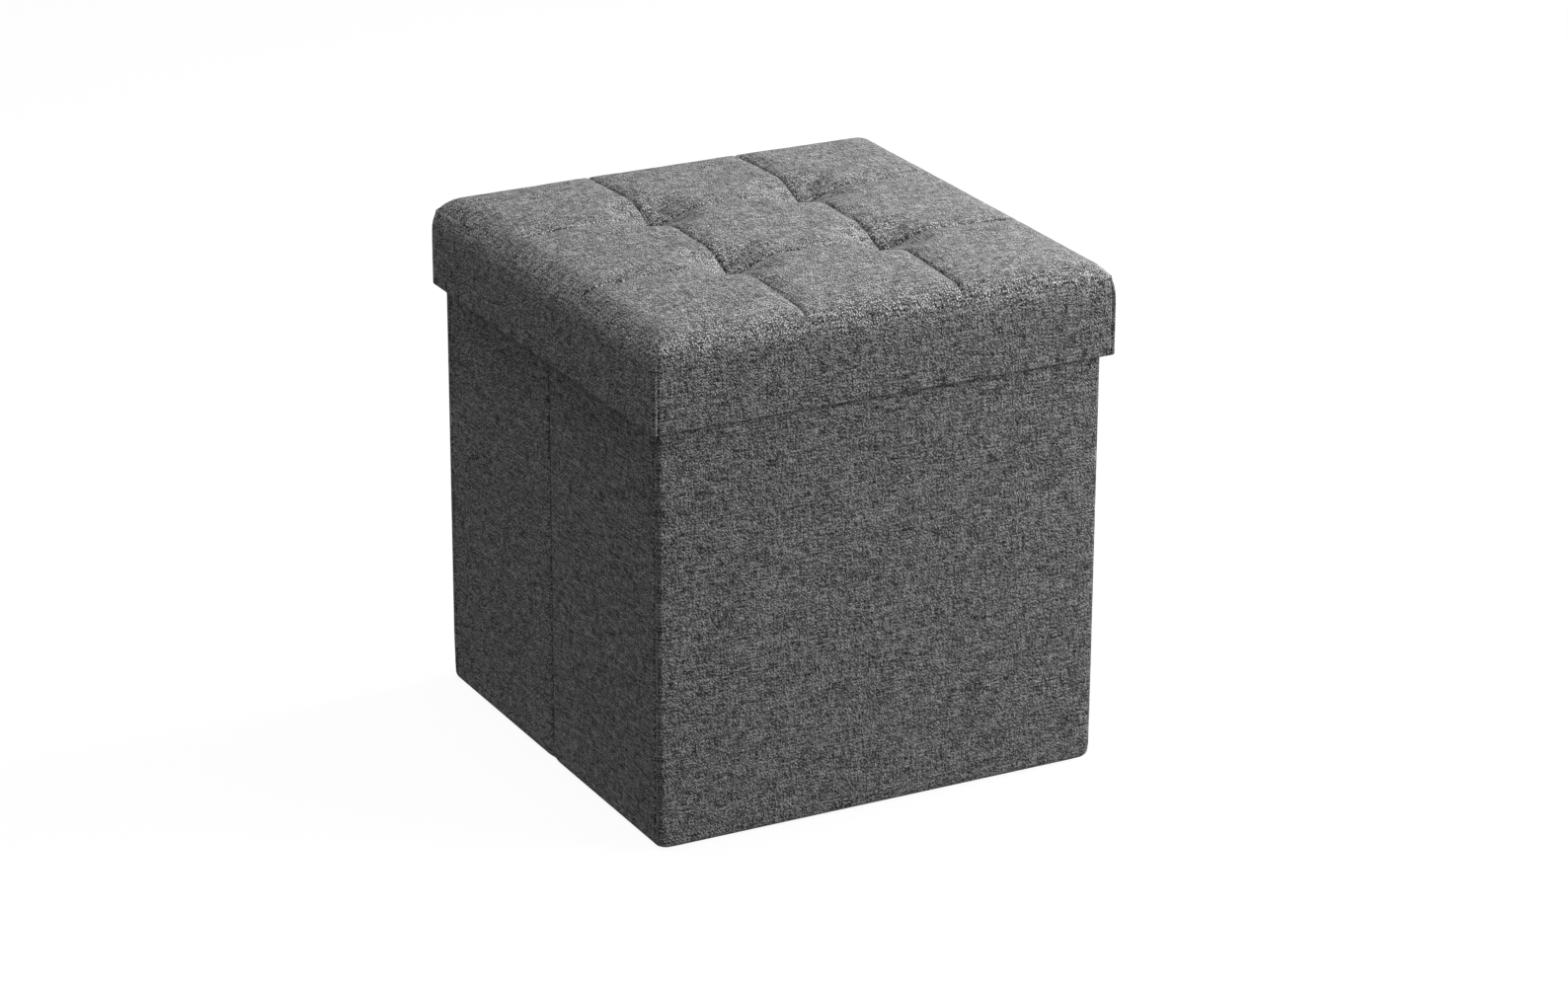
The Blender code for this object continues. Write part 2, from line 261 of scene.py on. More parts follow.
class Tree:
    """Short ways to add nodes to a material."""

    def __init__(self, name):
        self.material = bpy.data.materials.new(name)
        self.material.use_nodes = True
        self.nodes = self.material.node_tree.nodes
        self.links = self.material.node_tree.links
        self.shader = self.nodes["Principled BSDF"]

    def put(self, socket, value):
        if isinstance(value, bpy.types.NodeSocket):
            self.links.new(value, socket)
        else:
            socket.default_value = value

    def math(self, operation, *values, clamp=False):
        node = self.nodes.new("ShaderNodeMath")
        node.operation = operation
        node.use_clamp = clamp
        for socket, value in zip(node.inputs, values):
            self.put(socket, value)
        return node.outputs[0]

    def point(self, x, y, z=0.0):
        node = self.nodes.new("ShaderNodeCombineXYZ")
        for socket, value in zip(node.inputs, (x, y, z)):
            self.put(socket, value)
        return node.outputs[0]

    def times(self, a, b):
        return self.math("MULTIPLY", a, b)

    def noise(self, place, scale, detail=2.0, rough=0.5):
        node = self.nodes.new("ShaderNodeTexNoise")
        self.put(node.inputs["Vector"], place)
        node.inputs["Scale"].default_value = scale
        node.inputs["Detail"].default_value = detail
        node.inputs["Roughness"].default_value = rough
        return node.outputs["Fac"]

    def span(self, value, low, high, to_low, to_high):
        node = self.nodes.new("ShaderNodeMapRange")
        for socket, number in zip(node.inputs, (value, low, high, to_low, to_high)):
            self.put(socket, number)
        return node.outputs[0]

    def choose(self, share, a, b):
        """a where the share is 0, and b where it is 1."""
        return self.math("ADD", self.math("MULTIPLY", a, self.math("SUBTRACT", 1.0, share)),
                         self.math("MULTIPLY", b, share))

    def tint(self, value, colour):
        node = self.nodes.new("ShaderNodeCombineColor")
        for socket, share in zip(node.inputs, colour):
            self.put(socket, self.math("MULTIPLY", value, share))
        return node.outputs[0]

    def flat_place(self):
        """The place on the flat cloth, along and up, in metres."""
        uv = self.nodes.new("ShaderNodeUVMap")
        uv.uv_map = "cloth"
        parts = self.nodes.new("ShaderNodeSeparateXYZ")
        self.links.new(uv.outputs[0], parts.inputs[0])
        return parts.outputs[0], parts.outputs[1]

    def bump(self, height, distance):
        node = self.nodes.new("ShaderNodeBump")
        node.inputs["Strength"].default_value = 1.0
        node.inputs["Distance"].default_value = distance
        self.put(node.inputs["Height"], height)
        self.put(self.shader.inputs["Normal"], node.outputs[0])


WARP_PITCH, WEFT_PITCH = 0.95 * MM, 0.9 * MM
SLUB = 6.5 * MM  # how far a yarn keeps its tone
STREAK, STREAK_WIDTH = 14 * MM, 0.95 * MM  # the length and width of a lighter or darker streak
WARP_SHARE = 0.75  # the warp's tone, as a share of the weft's
YARN_PART, GRAIN_PART, STREAK_PART = 0.5, 0.36, 0.42  # how much each adds to the cloth's tone
LEAST_TONE = 0.195
YARN_LIGHT, MOST_LIGHT = 3.3, 1.2  # brightness of yarn of tone 1, and the most that any yarn gets
YARN_HEIGHT = 0.15 * MM


def linen(name, level):
    """Mottled plain weave: light, grey and black yarn both ways."""
    tree = Tree(name)
    along, up = tree.flat_place()
    wander_a = tree.noise(tree.point(tree.times(up, 0.5), along, 1.0), 60.0, 0.0)
    wander_b = tree.noise(tree.point(tree.times(along, 0.5), up, 9.0), 60.0, 0.0)
    warp_at = tree.math("ADD", tree.math("DIVIDE", along, WARP_PITCH), wander_a)
    weft_at = tree.math("ADD", tree.math("DIVIDE", up, WEFT_PITCH), wander_b)
    warp, weft = tree.math("FLOOR", warp_at), tree.math("FLOOR", weft_at)
    across_warp, across_weft = tree.math("FRACT", warp_at), tree.math("FRACT", weft_at)
    over = tree.math("FLOORED_MODULO", tree.math("ADD", warp, weft), 2.0)

    def changes(thread, spread, run, length, seed, *detail):
        """Noise that changes from thread to thread, and along each one over a length."""
        place = tree.point(tree.times(thread, spread), tree.math("DIVIDE", run, length), seed)
        return tree.noise(place, 1.0, *detail)

    def yarn(thread, run, seed):
        """A yarn's tone: of its own all along, and changing from slub to slub."""
        slubs = tree.span(changes(thread, 5.37, run, SLUB, seed, 2.0, 0.7), 0.28, 0.72, 0.0, 0.95)
        drift = tree.span(changes(thread, 3.91, run, 6 * SLUB, seed, 0.0), 0.3, 0.7, -0.05, 0.15)
        return tree.math("ADD", slubs, drift)

    def crown(share):
        """A yarn's height across its width."""
        off = tree.math("SUBTRACT", tree.times(share, 2.0), 1.0)
        return tree.math("SUBTRACT", 1.0, tree.times(off, off))

    def speck(right, above):
        """A random tone for each crossing, read some crossings away."""
        node = tree.nodes.new("ShaderNodeTexWhiteNoise")
        node.noise_dimensions = "2D"
        place = tree.point(tree.math("ADD", warp, right), tree.math("ADD", weft, above))
        tree.put(node.inputs["Vector"], place)
        return node.outputs["Value"]

    def streak(width, height, seed):
        place = tree.point(tree.math("DIVIDE", along, width), tree.math("DIVIDE", up, height), seed)
        return tree.noise(place, 1.0, 1.0)

    beside = tree.times(tree.math("ADD", speck(1.0, 0.0), speck(0.0, 1.0)), 0.5)
    grain = tree.math("SUBTRACT", speck(0.0, 0.0), beside)
    tone = tree.choose(over, yarn(weft, along, 3.7), tree.times(yarn(warp, up, 19.1), WARP_SHARE))
    across, upward = streak(STREAK, STREAK_WIDTH, 2.0), streak(STREAK_WIDTH, STREAK, 8.0)
    streaks = tree.math("SUBTRACT", tree.math("ADD", across, upward), 1.0)
    tone = tree.math("ADD", tree.math("ADD", tree.times(tone, YARN_PART), LEAST_TONE),
                     tree.times(grain, GRAIN_PART))
    tone = tree.math("ADD", tone, tree.times(streaks, STREAK_PART), clamp=True)
    arch_warp, arch_weft = crown(across_warp), crown(across_weft)
    height = tree.math(
        "MULTIPLY",
        tree.math("POWER", tree.choose(over, arch_weft, arch_warp), 0.5),
        tree.math("ADD", 0.4, tree.times(0.6, tree.choose(over, arch_warp, arch_weft))),
    )
    cloud = tree.span(tree.noise(tree.point(along, up, 5.0), 22.0, 1.0), 0.3, 0.7, 0.95, 1.05)
    light = tree.times(tree.math("POWER", tone, 3.0), YARN_LIGHT)
    body = tree.math("MINIMUM", tree.math("ADD", 0.01, light), MOST_LIGHT)
    # painted shade: by its height, each yarn is darker towards its edges and in the gaps between yarns
    shaded = tree.times(body, tree.math("ADD", 0.2, tree.times(height, 0.8)))
    albedo = tree.times(tree.times(shaded, cloud), level)
    tree.put(tree.shader.inputs["Base Color"], tree.tint(albedo, (1.0, 1.0, 1.005)))
    tree.put(tree.shader.inputs["Roughness"], tree.span(tone, 0.0, 1.0, 0.97, 0.88))
    tree.shader.inputs["Specular IOR Level"].default_value = 0.2
    tree.shader.inputs["Sheen Weight"].default_value = 0.05
    tree.shader.inputs["Sheen Roughness"].default_value = 0.5
    tree.bump(height, YARN_HEIGHT)
    return tree.material


DOT_PITCH = 1.6 * MM


def non_woven(name, level):
    """Dark spun cloth with its grid of small pressed dots."""
    tree = Tree(name)
    along, up = tree.flat_place()
    wave_a = tree.math("COSINE", tree.times(along, 2 * math.pi / DOT_PITCH))
    wave_b = tree.math("COSINE", tree.times(up, 2 * math.pi / DOT_PITCH))
    dots = tree.math("POWER", tree.math("MAXIMUM", tree.times(wave_a, wave_b), 0.0), 2.0)
    fibre = tree.noise(tree.point(along, up), 2200.0, 3.0, 0.7)
    cloud = tree.noise(tree.point(along, up, 2.0), 60.0, 2.0)
    tone = tree.math("ADD", tree.span(fibre, 0.2, 0.8, 0.6, 1.3), tree.span(cloud, 0.3, 0.7, -0.12, 0.12))
    tone = tree.times(tone, tree.math("SUBTRACT", 1.0, tree.times(dots, 0.3)))
    albedo = tree.times(tone, level)
    tree.put(tree.shader.inputs["Base Color"], tree.tint(albedo, (1.0, 1.0, 1.03)))
    tree.put(tree.shader.inputs["Roughness"], tree.span(dots, 0.0, 1.0, 0.85, 0.55))
    tree.bump(tree.math("SUBTRACT", fibre, dots), 0.12 * MM)
    return tree.material


def board(name, colour, grain):
    """Pressed wood fibre: fine flecks, soft clouds, and a faint grain one way."""
    tree = Tree(name)
    at = tree.nodes.new("ShaderNodeTexCoord").outputs["Object"]
    flecks = tree.noise(at, 1800.0, 4.0, 0.7)
    clouds = tree.noise(at, 45.0, 3.0)
    tone = tree.math(
        "ADD", tree.span(flecks, 0.25, 0.75, 0.72, 1.22), tree.span(clouds, 0.3, 0.7, -grain, grain)
    )
    tree.put(tree.shader.inputs["Base Color"], tree.tint(tone, colour))
    tree.put(tree.shader.inputs["Roughness"], tree.span(flecks, 0.3, 0.7, 0.7, 0.9))
    tree.bump(flecks, 0.08 * MM)
    return tree.material


def thread(name):
    """Waxed cord: strands that wind round it."""
    tree = Tree(name)
    parts = tree.nodes.new("ShaderNodeSeparateXYZ")
    tree.links.new(tree.nodes.new("ShaderNodeTexCoord").outputs["Object"], parts.inputs[0])
    x, y, z = parts.outputs
    lean = tree.math("ADD", tree.math("ADD", x, y), tree.times(z, 1.5))
    twist = tree.math("SINE", tree.times(lean, 2 * math.pi / (0.9 * MM)))
    tone = tree.span(twist, -1.0, 1.0, 0.5, 1.3)
    tree.put(tree.shader.inputs["Base Color"], tree.tint(tone, (0.07, 0.07, 0.075)))
    tree.put(tree.shader.inputs["Roughness"], tree.span(twist, -1.0, 1.0, 0.75, 0.5))
    tree.bump(twist, 0.1 * MM)
    return tree.material


LINEN = linen("charcoal_linen", 0.8)
HEM_LINEN = linen("hem_linen", 0.78)
CORNER_TAPE = non_woven("corner_tape", 0.055)
LINING = non_woven("black_non_woven", 0.03)
BASE_WRAP = non_woven("base_non_woven", 0.035)
BOARD = board("panel_fibreboard", (0.42, 0.30, 0.18), 0.08)
RIM_BOARD = board("rim_fibreboard", (0.50, 0.37, 0.23), 0.12)
THREAD = thread("waxed_thread")


# Walls

REBATE = 1.3 * MM  # the walls' cloth steps in behind the hem
ROLL = 1.5 * MM  # how sharply cloth turns into a corner seam
TOP_RADIUS = 2.0 * MM
INNER_RADIUS = 0.8 * MM  # of the side halves' inner edges
DEEP = 1.45 * MM  # how far in the cloth's inner face lies on the sides, and on the front and rear's hem
EASE, EASE_REACH = 1.2 * MM, 9 * MM  # the front and rear fall back a little towards their corners
CREASE_ROLL = 2.8 * MM  # radius at which the cloth turns in at the crease of a side
CREASE_EASE, CREASE_REACH = 0.8 * MM, 9 * MM  # a side half falls back a little towards it
CREASE_DIP, CREASE_WIDTH = 1.2 * MM, 2.2 * MM  # and its hem dips there
ARC = np.array([0.35, 0.8, 1.2, 1.6, 1.9, 2.2, 2.6, 3.2]) * MM  # grid lines beside a rounded edge
SIDE_SIGNS = (("left", -1), ("right", 1))


def heights(low, high, extra):
    """Grid lines up a wall, closer together at the hem and at the rounded top."""
    lines = graded(low, high, 9 * MM, (SPLIT,), (0.05 * MM, 1.5 * MM))
    lines = lines[lines < high - 4 * MM]
    return np.unique(np.concatenate([lines, high - ARC, [high], extra]))


def dress(made, body, nodes):
    """What most pieces need: the body they ride on, and the nodes they stand for, which are hidden."""
    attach(made, body)
    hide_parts(*nodes)


def full_wall(side, turn):
    """The cloth of the front or rear wall: a case round its board, turned round both corners."""
    back = WALL - HALF
    low, high = WALL_LOW + TURN_IN, WALL_TOP - TURN_IN
    xs = graded(-HALF, HALF, 9 * MM, (-HALF, HALF), (*ARC, 5 * MM, 7 * MM, TURN_IN))
    ys = np.concatenate([[0.0], ARC, [4.7 * MM, WALL - ROLL, WALL - THIN, WALL - 0.3 * MM, WALL]]) - HALF
    zs = heights(WALL_LOW, WALL_TOP, (low, high))

    def keep(face, x, z):
        return not (face == "rear" and abs(x) < HALF - TURN_IN and low < z < high)

    grid = box_grid(xs, ys, zs, keep)
    z = grid.points[:, 2]
    step = np.where(z < SPLIT, REBATE, 0.0)
    outer = grid.points.copy()
    outer[:, 0] = np.clip(outer[:, 0], step - HALF, HALF - step)
    outer[:, 1] = np.maximum(outer[:, 1], step - HALF)
    round_edge(outer, 1, step - HALF, -1, 2, WALL_TOP, 1, TOP_RADIUS)
    for way in (-1, 1):
        round_edge(outer, 0, way * HALF, way, 2, WALL_TOP, 1, TOP_RADIUS)
        round_edge(outer, 0, way * (HALF - step), way, 1, step - HALF, -1, corner_radius(z) - step)
        round_edge(outer, 0, way * (HALF - step), way, 1, back, 1, ROLL)
    share = np.clip((np.abs(grid.points[:, 0]) - HALF + EASE_REACH) / EASE_REACH, 0, 1)
    near_front = np.clip(1 - (grid.points[:, 1] + HALF) / (3 * MM), 0, 1)
    outer[:, 1] += EASE * (1 - np.sqrt(1 - share**2)) * near_front
    inset = np.where(z < SPLIT + 1.5 * MM, DEEP, CLOTH)
    inner = grid.points.copy()
    inner[:, 0] = np.clip(inner[:, 0], inset - HALF, HALF - inset)
    inner[:, 1] = np.clip(inner[:, 1], inset - HALF, back - THIN)
    inner[:, 2] = np.clip(inner[:, 2], WALL_LOW + CLOTH, WALL_TOP - CLOTH)
    if turn:
        outer[:, :2] *= -1
        inner[:, :2] *= -1
    made = shell(f"{side}_wall_cloth", grid, outer, inner, LINEN)
    dress(made, f"{side}_wall", [f"{side}_cover"])


def crease(y):
    """How far a side's hem dips at the crease between its two halves."""
    return CREASE_DIP * np.exp(-np.abs(y / CREASE_WIDTH) ** 1.5)


def side_wrap(side, way, end, along):
    """The cloth of a side half: a case round its board, which falls back a little at the crease."""
    front, back = HALF, HALF - WALL
    low, high = WALL_LOW + TURN_IN, WALL_TOP - TURN_IN
    near, far = CREASE_END + TURN_IN, SIDE_END - TURN_IN
    ys = graded(CREASE_END, SIDE_END, 9 * MM, (CREASE_END, SIDE_END), (*ARC, 4.2 * MM, 6 * MM, TURN_IN))
    zs = heights(WALL_LOW, WALL_TOP - 0.1 * MM, (low, high))
    xs = np.concatenate([[back, back + 0.3 * MM, back + THIN, back + 2 * MM], front - ARC[::-1], [front]])

    def keep(face, y, z):
        return not (face == "left" and near < y < far and low < z < high)

    grid = box_grid(xs, ys, zs, keep)
    outer = grid.points.copy()
    z = outer[:, 2]
    outer[:, 0] = np.minimum(outer[:, 0], np.where(z < SPLIT, HALF - REBATE, HALF))
    round_edge(outer, 0, back, -1, 2, WALL_TOP - 0.1 * MM, 1, INNER_RADIUS)
    round_edge(outer, 0, front, 1, 2, WALL_TOP - 0.1 * MM, 1, TOP_RADIUS)
    edge = np.where(z < SPLIT, HALF - REBATE, HALF)
    round_edge(outer, 0, edge, 1, 1, CREASE_END, -1, CREASE_ROLL)
    round_edge(outer, 0, edge, 1, 1, SIDE_END, 1, ROLL)
    round_edge(outer, 0, back, -1, 1, CREASE_END, -1, INNER_RADIUS)
    round_edge(outer, 0, back, -1, 1, SIDE_END, 1, INNER_RADIUS)
    fall = CREASE_EASE * np.maximum(0.0, 1 - (grid.points[:, 1] - CREASE_END) / CREASE_REACH) ** 2
    outer[:, 0] -= np.where(grid.points[:, 0] > HALF - 1 * MM, fall, 0.0)
    inner = grid.points.copy()
    inner[:, 0] = np.clip(inner[:, 0], back + THIN, HALF - DEEP)
    inner[:, 1] = np.clip(inner[:, 1], CREASE_END + CLOTH, SIDE_END - CLOTH)
    inner[:, 2] = np.clip(inner[:, 2], WALL_LOW + CLOTH, WALL_TOP - CLOTH)
    for form in (outer, inner):
        form[:, 0] *= way
        form[:, 1] *= along
    made = shell(f"{side}_{end}_wrap", grid, outer, inner, LINEN)
    dress(made, f"{side}_{end}", [f"{side}_{end}_cover"])


# Hems

HEM = 1.0 * MM
HEM_LOW = 0.3 * MM
HEM_RADIUS = 5.0 * MM
HEM_TURN = math.radians(62)
HEM_JOINTS = {
    "left_rear": "fold",
    "left_front": "left_crease",
    "front": "left_front_corner",
    "right_rear": "right_rear_corner",
    "right_front": "right_crease",
}


def hem_profile():
    """How far in, and how high, down the outer face of a hem and back up its inner face."""
    turn = np.linspace(0, HEM_TURN, 7)
    heel = HEM_LOW + HEM_RADIUS

    def side(radius):
        bend = [(HEM_RADIUS - radius * math.cos(t), heel - radius * math.sin(t)) for t in turn]
        return [(HEM_RADIUS - radius, SPLIT - 0.05 * MM), (HEM_RADIUS - radius, 8 * MM)] + bend

    outer, inner = side(HEM_RADIUS), side(HEM_RADIUS - HEM)
    return np.array(outer), np.array(inner)


def hem(name, body, node, us, place):
    """A strip hanging from a wall. place gives the points for a distance along it, and a way in and up."""
    outer, inner = hem_profile()
    steps = np.concatenate([[0], np.cumsum(np.hypot(*np.diff(outer, axis=0).T))])
    grid = strip_grid(us, SPLIT - steps)
    forms = [np.array([place(u, *step) for u in us for step in form]) for form in (outer, inner)]
    made = shell(name, grid, *forms, HEM_LINEN)
    dress(made, body, [node])
    joint = HEM_JOINTS.get(node.removesuffix("_hem"))
    if joint:
        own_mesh(made)


def full_hem(side, turn):
    """The hem of the front or rear wall, with a short return round each corner."""
    back = WALL - HALF
    beside = (0.0, 1.3 * MM, 2.6 * MM, 4 * MM, 5.6 * MM, WALL)
    us = graded(-HALF - WALL, HALF + WALL, 9 * MM, (-HALF, HALF), beside)

    def place(u, inset, z):
        over = abs(u) - HALF
        x = math.copysign(min(abs(u), HALF), u)
        y = -HALF + max(0.0, over)
        radius = max(float(corner_radius(z)) - inset, 1.2 * MM)
        point = np.array([[x, y, z]])
        point[:, 0] = np.clip(point[:, 0], inset - HALF, HALF - inset)
        point[:, 1] = min(max(point[0, 1], inset - HALF), back)
        for way in (-1, 1):
            round_edge(point, 0, way * (HALF - inset), way, 1, inset - HALF, -1, radius)
        return point[0] * ((-1, -1, 1) if turn else (1, 1, 1))

    hem(f"{side}_wall_hem", f"{side}_wall", f"{side}_hem", us, place)


def side_hem(side, way, end, along):
    us = graded(0.05 * MM, SIDE_END, 9 * MM)

    def place(u, inset, z):
        return np.array([way * (HALF - inset - float(crease(u))), along * u, z])

    name = f"{side}_{end}"
    hem(f"{name}_wall_hem", name, f"{name}_hem", us, place)


# Linings

STITCH_AT, STITCH_DEPTH = 2.2 * MM, 0.18 * MM  # the sewn line inside a lining's edge
LAP = 2.5 * MM  # how far a lining laps over the turned-in cloth


def waves(points, size, seed):
    """Soft unevenness: a few long waves crossing each other."""
    draw = np.random.default_rng(seed)
    total = np.zeros(len(points))
    for _ in range(7):
        angle, phase = draw.uniform(0, math.tau, 2)
        length = draw.uniform(40, 130) * MM
        way = points[:, 0] * math.cos(angle) + points[:, 1] * math.sin(angle)
        total += np.sin(way * math.tau / length + phase)
    return size * total / 3.0


def flat_lining(name, body, node, low, high, up, seed, paint):
    """A thin lining over a board: low and high are its corners on the board, and up is its raised side."""
    us, vs = (
        graded(low[k], high[k], 8 * MM, (low[k], high[k]), (1 * MM, STITCH_AT, 4 * MM)) for k in (0, 1)
    )
    grid = strip_grid(us, vs)
    spots = grid.points[:, [0, 2]]
    edge = np.min([spots - low, high - spots], axis=(0, 2))
    lift = 0.12 * MM * smooth(edge / (4 * MM)) * (1 + waves(spots, 0.8, seed)) + 0.15 * MM
    stitch = STITCH_DEPTH * np.exp(-(((edge - STITCH_AT) / (0.8 * MM)) ** 2))
    top = up(spots, lift - stitch)
    under = up(spots, np.full(len(spots), 0.1 * MM - THIN))
    made = shell(name, grid, top, under, paint)
    dress(made, body, [node])


def linings():
    z_low, z_high = WALL_LOW + TURN_IN - LAP, WALL_TOP - TURN_IN + LAP
    face = HALF - WALL
    across = HALF - TURN_IN + LAP
    for number, (side, way) in enumerate((("front", -1), ("rear", 1))):
        def up(spots, lift, way=way):
            return np.stack([spots[:, 0] * way, way * (face - lift), spots[:, 1]], axis=1)

        flat_lining(
            f"{side}_wall_lining", f"{side}_wall", f"{side}_lining", (-across, z_low), (across, z_high), up,
            number, LINING,
        )
    near, far = CREASE_END + TURN_IN - LAP, SIDE_END - TURN_IN + LAP
    for number, (side, way) in enumerate(SIDE_SIGNS):
        for end, along in (("rear", 1), ("front", -1)):
            def up(spots, lift, way=way, along=along):
                return np.stack([way * (face - lift), spots[:, 0] * along, spots[:, 1]], axis=1)

            name = f"{side}_{end}"
            flat_lining(
                f"{name}_wall_lining", name, f"{name}_lining", (near, z_low), (far, z_high), up,
                10 + 2 * number + along, LINING,
            )
    half = BASE_LINING_HALF + LAP

    def floor_up(spots, lift):
        return np.stack([spots[:, 0], spots[:, 1], BASE_TOP + lift - 0.1 * MM], axis=1)

    flat_lining(
        "base_floor_lining", "base", "base_lining", (-half, -half), (half, half), floor_up, 20, LINING,
    )


# Corner ribbons

RIBBON_SLACK = 7.5 * MM  # this much more tape than the strip is long, gathered in the seam
RIBBON_IN, RIBBON_OUT = 1.15 * MM, 0.75 * MM  # how far inside the box's face it lies


def corner_ribbon(name, wall, half, way, along):
    """A strip behind a corner seam."""
    ys = np.concatenate([
        np.linspace(SIDE_END - 7.6 * MM, SIDE_END, 6), np.linspace(SIDE_END, HALF - WALL, 7)[1:],
        np.linspace(HALF - WALL, HALF - WALL + 2.2 * MM, 4)[1:],
    ])
    xs = HALF - np.array([RIBBON_IN, RIBBON_OUT])
    high = WALL_TOP - 1.5 * MM
    grid = box_grid(xs, ys, graded(SPLIT, high, 12 * MM))
    form = grid.points.copy()
    form[:, 0] *= way
    form[:, 1] *= along
    seam = SIDE_END + (xs[0] + xs[1]) / 2

    def opened(u):
        return u + RIBBON_SLACK * np.clip((u - seam) / (HALF - WALL - SIDE_END), 0, 1)

    gathered = [[(opened(u), v) for u, v in places] for places in grid.flat]
    made = piece(name, form, grid.cells, gathered, CORNER_TAPE)
    height = high - SPLIT
    if wall:
        start, end = ((way * HALF, along * y, SPLIT + height / 2) for y in (SIDE_END, HALF - WALL))
        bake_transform(made)
        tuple(start)
        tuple(end)
    else:
        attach(made, half)


# The base

BASE_HALF = 178.6 * MM
BASE_EDGE = 4.8 * MM  # radius of its lower edge
BASE_CORNER = 9 * MM  # radius of its upright corners
BASE_SKIN = 0.8 * MM  # thickness of its cloth
BASE_ARC = np.array([0.4, 1.0, 1.8, 2.7, 3.7, 4.8, 6.8, 9.0]) * MM  # grid lines beside its edge
BASE_LEVELS = np.array([0.0, 0.4, 1.0, 1.8, 2.7, 3.7, 4.8, 5.6, 6.2, 6.7]) * MM
PANEL_LEVELS = np.array([0.0, 0.09, 0.2, 0.36, 0.55, 0.76, 0.9, 1.0])  # shares of the board's thickness


def round_slab(points, half, z, z_way, radius):
    """Round a square slab's lower or upper edge, all the way round."""
    for axis in (0, 1):
        for way in (-1, 1):
            round_edge(points, axis, way * half, way, 2, z, z_way, radius)


def round_corners(points, half, radius):
    """Round a square's four upright corners."""
    for way in (-1, 1):
        for other in (-1, 1):
            round_edge(points, 0, way * half, way, 1, other * half, other, radius)


def base_wrap():
    """The cloth round the base board, open on top where the lining lies."""
    half, top = BASE_HALF, BASE_TOP
    turn_in = half - BASE_LINING_HALF
    xs = graded(-half, half, 12 * MM, (-half, half), (*BASE_ARC, turn_in))
    zs = np.append(BASE_LEVELS[BASE_LEVELS < top], top)

    def keep(face, x, y):
        return not (face == "top" and max(abs(x), abs(y)) < half - turn_in)

    grid = box_grid(xs, xs, zs, keep)
    outer = grid.points.copy()
    round_slab(outer, half, 0.0, -1, BASE_EDGE)
    round_slab(outer, half, top, 1, 1.2 * MM)
    round_corners(outer, half, BASE_CORNER)
    within = half - BASE_SKIN
    inner = grid.points.copy()
    inner[:, :2] = np.clip(inner[:, :2], -within, within)
    inner[:, 2] = np.clip(inner[:, 2], BASE_SKIN, top - BASE_SKIN)
    round_slab(inner, within, BASE_SKIN, -1, BASE_EDGE - BASE_SKIN)
    round_corners(inner, within, BASE_CORNER - BASE_SKIN)
    made = shell("base_wrap", grid, outer, inner, BASE_WRAP)
    dress(made, "base", ["base_cover"])


def base_panel():
    """The board inside the wrap, rounded like it."""
    low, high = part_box("base_board")
    edge = BASE_HALF - BASE_SKIN - 0.4 * MM
    lines = graded(-edge, edge, 40 * MM, (-edge, edge), BASE_ARC * 0.88)
    grid = box_grid(lines, lines, low.z + (high.z - low.z) * PANEL_LEVELS)
    form = grid.points.copy()
    round_slab(form, edge, low.z, -1, 3.2 * MM)
    round_slab(form, edge, high.z, 1, 0.5 * MM)
    round_corners(form, edge, BASE_CORNER - 1 * MM)
    dress(solid("base_panel", grid, form, BOARD), "base", ["base_board"])


# The lid

SKIRT_EDGE = 1.6 * MM  # radius of the skirt's lower edge
MOUTH_EDGE = 1.5 * MM
PIPE = 0.35 * MM  # the sewn line round the cushion's border stands out this much
CORNER_LINE, CORNER_LINE_AT = 1.15 * MM, 4.2 * MM  # the seam beside each of its corners
CORNER_WELT = 0.4 * MM  # the folded cloth that stands out along it
CORNER_HOLD = 65 * MM  # the rounded edge is crisp at a corner, and full this far from it
SEAM_DEPTH = 2.2 * MM  # of the valley between two of the cushion's panels
SEAM_REACH = 14 * MM  # half its width
TUFT_DEPTH = 15.2 * MM
TUFT_REACH = 45 * MM
TUFT_FORM = 1.6  # between a four-sided dimple at 1 and a round one at 2
GROOVE = 2.8 * MM  # the sewn line itself
GROOVE_WIDTH = 1.15 * MM
SHOULDER = 19 * MM  # how far in the cushion's rounded edge reaches
SHOULDER_LOW = 372 * MM  # where the skirt starts to lean into it
SHOULDER_HIGH = 396.5 * MM
DOME = LID_TOP - SHOULDER_HIGH


def border_fade(x, y, reach):
    return smooth((LID_HALF - np.maximum(np.abs(x), np.abs(y))) / reach)


def lean(z):
    """How far in the rounded edge stands at a height, from the skirt up to the cushion's border."""
    share = np.clip((z - SHOULDER_LOW) / (SHOULDER_HIGH - SHOULDER_LOW), 0, 1)
    return SHOULDER * (1 - np.sqrt(1 - share**2))


def corner_hold(along):
    """How much of the rounded edge there is, for a place along a side from its middle."""
    return 0.6 + 0.4 * smooth((LID_HALF - np.abs(along)) / CORNER_HOLD)


def edge_rise(inward):
    """The rounded edge, for a distance in from the border: 0 at the border and 1 at the shoulder's end."""
    start = float(lean(LID_SEAM))
    share = 1 - np.clip((start + inward * (SHOULDER - start) / SHOULDER) / SHOULDER, 0, 1)
    height = SHOULDER_LOW + (SHOULDER_HIGH - SHOULDER_LOW) * np.sqrt(np.maximum(0.0, 1 - share**2))
    return (height - LID_SEAM) / (SHOULDER_HIGH - LID_SEAM)


